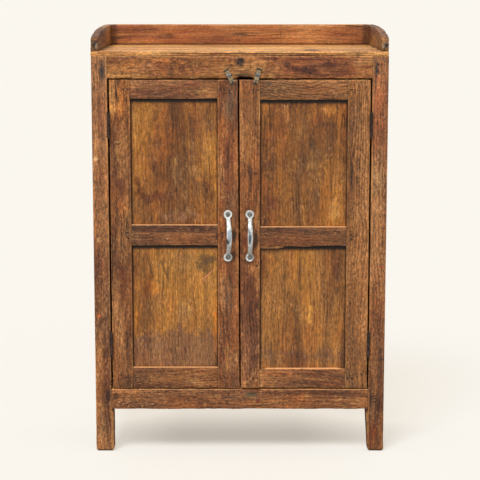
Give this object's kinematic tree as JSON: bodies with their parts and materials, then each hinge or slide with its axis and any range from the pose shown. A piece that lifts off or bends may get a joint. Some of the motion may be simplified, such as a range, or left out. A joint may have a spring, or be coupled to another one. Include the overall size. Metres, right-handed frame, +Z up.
{
  "type": "kang cabinet",
  "caption": "Two-door framed teak cupboard on short square legs, with a planked top inside a low three-sided gallery, a shelf inside, bow pulls and small hasps.",
  "frame": {"origin": "bottom centre of the whole cabinet with its pulls, on the floor", "axes": "+Z up, +X to the right seen from the doors' side, +Y from the doors to the back"},
  "size_m": [0.75, 0.46, 1.096],
  "materials": {
    "frame_teak": "waxed, worn",
    "panel_teak": "waxed, golden",
    "top_teak": "waxed, worn pale",
    "inner_teak": "dry, unwaxed",
    "teak_pegs": "dark end grain",
    "rusty_iron": "rusted",
    "galvanised_zinc": "galvanised, dulled",
    "weathered_strap": "tarnished"
  },
  "bodies": {
    "carcass": {"front_left_post": "frame_teak", "front_right_post": "frame_teak", "rear_left_post": "frame_teak", "rear_right_post": "frame_teak", "front_top_rail": "frame_teak", "front_bottom_rail": "frame_teak", "rear_top_rail": "frame_teak", "rear_bottom_rail": "frame_teak", "left_side_top_rail": "frame_teak", "left_side_middle_rail": "frame_teak", "left_side_bottom_rail": "frame_teak", "right_side_top_rail": "frame_teak", "right_side_middle_rail": "frame_teak", "right_side_bottom_rail": "frame_teak", "left_side_lower_panel": "panel_teak", "left_side_upper_panel": "panel_teak", "right_side_lower_panel": "panel_teak", "right_side_upper_panel": "panel_teak", "top_front_board": "top_teak", "top_middle_board": "top_teak", "top_rear_board": "top_teak", "gallery_left_board": "top_teak", "gallery_right_board": "top_teak", "gallery_back_board": "top_teak", "back_boards": "inner_teak", "floor_boards": "inner_teak", "shelf_boards": "inner_teak", "carcass_pegs": "teak_pegs", "carcass_nails": "rusty_iron", "post_hinge_leaves": "rusty_iron", "hinge_pins": "rusty_iron", "post_hinge_screws": "rusty_iron"},
    "left_door": {"left_door_hinge_stile": "frame_teak", "left_door_lock_stile": "frame_teak", "left_door_top_rail": "frame_teak", "left_door_middle_rail": "frame_teak", "left_door_bottom_rail": "frame_teak", "left_door_lower_panel": "panel_teak", "left_door_upper_panel": "panel_teak", "left_door_pegs": "teak_pegs", "left_door_hinge_leaves": "rusty_iron", "left_door_fastenings": "rusty_iron", "left_pull": "galvanised_zinc", "left_hasp_plate": "weathered_strap", "left_hasp_pin": "weathered_strap"},
    "left_hasp": {"left_hasp_leaf": "weathered_strap"},
    "right_door": {"right_door_hinge_stile": "frame_teak", "right_door_lock_stile": "frame_teak", "right_door_top_rail": "frame_teak", "right_door_middle_rail": "frame_teak", "right_door_bottom_rail": "frame_teak", "right_door_lower_panel": "panel_teak", "right_door_upper_panel": "panel_teak", "right_door_pegs": "teak_pegs", "right_door_hinge_leaves": "rusty_iron", "right_door_fastenings": "rusty_iron", "right_pull": "galvanised_zinc", "right_hasp_plate": "weathered_strap", "right_hasp_pin": "weathered_strap"},
    "right_hasp": {"right_hasp_leaf": "weathered_strap"}
  },
  "joints": [
    {"name": "left_door_hinge", "type": "hinge", "parent": "carcass", "child": "left_door", "pos_m": [-0.3315, -0.2042, 0.571], "axis": [0, 0, -1], "range_deg": [0, 170]},
    {"name": "right_door_hinge", "type": "hinge", "parent": "carcass", "child": "right_door", "pos_m": [0.3315, -0.2042, 0.571], "axis": [0, 0, 1], "range_deg": [0, 170]},
    {"name": "left_hasp_fold", "type": "hinge", "parent": "left_door", "child": "left_hasp", "pos_m": [-0.0275, -0.2036, 0.9805], "axis": [0.8829, 0, 0.4695], "range_deg": [0, 170]},
    {"name": "right_hasp_fold", "type": "hinge", "parent": "right_door", "child": "right_hasp", "pos_m": [0.0452, -0.2036, 0.9815], "axis": [0.9613, 0, -0.2756], "range_deg": [0, 170]}
  ]
}
